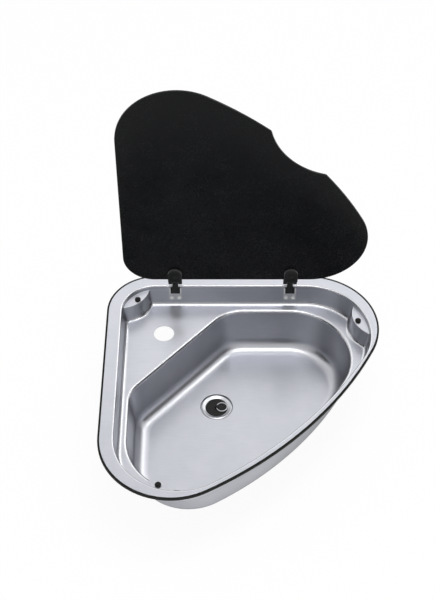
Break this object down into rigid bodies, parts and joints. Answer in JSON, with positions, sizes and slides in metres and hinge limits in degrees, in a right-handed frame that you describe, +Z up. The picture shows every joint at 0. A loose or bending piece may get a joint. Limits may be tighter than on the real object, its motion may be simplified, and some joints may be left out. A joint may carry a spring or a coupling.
{
  "type": "sink with glass lid",
  "caption": "Three-cornered drop-in sink in pressed steel with a seal under its rim, a tap hole in the deck, a plugged drain and a black glass lid on hinges.",
  "frame": {"origin": "on the drain's axis, at the height of the worktop that the rim seal rests on", "axes": "+Z up, +Y to the hinged back edge, +X to the right as seen from the front; the long bowed side faces +X and -Y"},
  "size_m": [0.503, 0.5091, 0.6521],
  "materials": {
    "bowl_steel": "satin pressed stainless steel",
    "hinge_steel": "plain stainless steel",
    "fastener_steel": "bright stainless steel",
    "bright_chrome": "polished",
    "black_rubber": "matt black rubber",
    "hinge_plastic": "fine-grained black moulding",
    "plug_plastic": "satin black moulding",
    "waste_plastic": "black moulding",
    "bush_plastic": "natural moulding",
    "insert_brass": "turned",
    "black_glass": "polished black tempered glass"
  },
  "bodies": {
    "bowl": {"sink_bowl": "bowl_steel", "rim_seal": "black_rubber", "lid_bumpers": "black_rubber", "hinge_plate_left": "hinge_steel", "hinge_plate_right": "hinge_steel", "hinge_backing_left": "hinge_steel", "hinge_backing_right": "hinge_steel", "hinge_screws": "fastener_steel", "hinge_pin_left": "fastener_steel", "hinge_pin_right": "fastener_steel", "hinge_block_left": "hinge_plastic", "hinge_block_right": "hinge_plastic", "drain_flange": "bright_chrome", "drain_gasket_upper": "black_rubber", "drain_gasket_lower": "black_rubber", "waste_sump": "waste_plastic", "waste_insert": "insert_brass", "waste_screw": "fastener_steel"},
    "lid": {"glass_lid": "black_glass", "hinge_leaf_left": "hinge_plastic", "hinge_leaf_right": "hinge_plastic", "hinge_cap_left": "hinge_plastic", "hinge_cap_right": "hinge_plastic", "clamp_pads": "black_rubber", "clamp_bolts": "fastener_steel", "glass_bushes": "bush_plastic"},
    "plug": {"drain_plug": "plug_plastic", "plug_lug": "plug_plastic"},
    "ring": {"pull_ring": "bright_chrome"}
  },
  "joints": [
    {"name": "lid_hinge", "type": "hinge", "parent": "bowl", "child": "lid", "pos_m": [0.03035, 0.1902, 0.0108], "axis": [1, 0, 0], "range_deg": [0, 90]},
    {"name": "plug_lift", "type": "slide", "parent": "bowl", "child": "plug", "axis": [0, 0, 1], "range_m": [0, 0.06]},
    {"name": "ring_flip", "type": "hinge", "parent": "plug", "child": "ring", "pos_m": [0, 0, -0.1282], "axis": [0, -1, 0], "range_deg": [0, 180]}
  ]
}
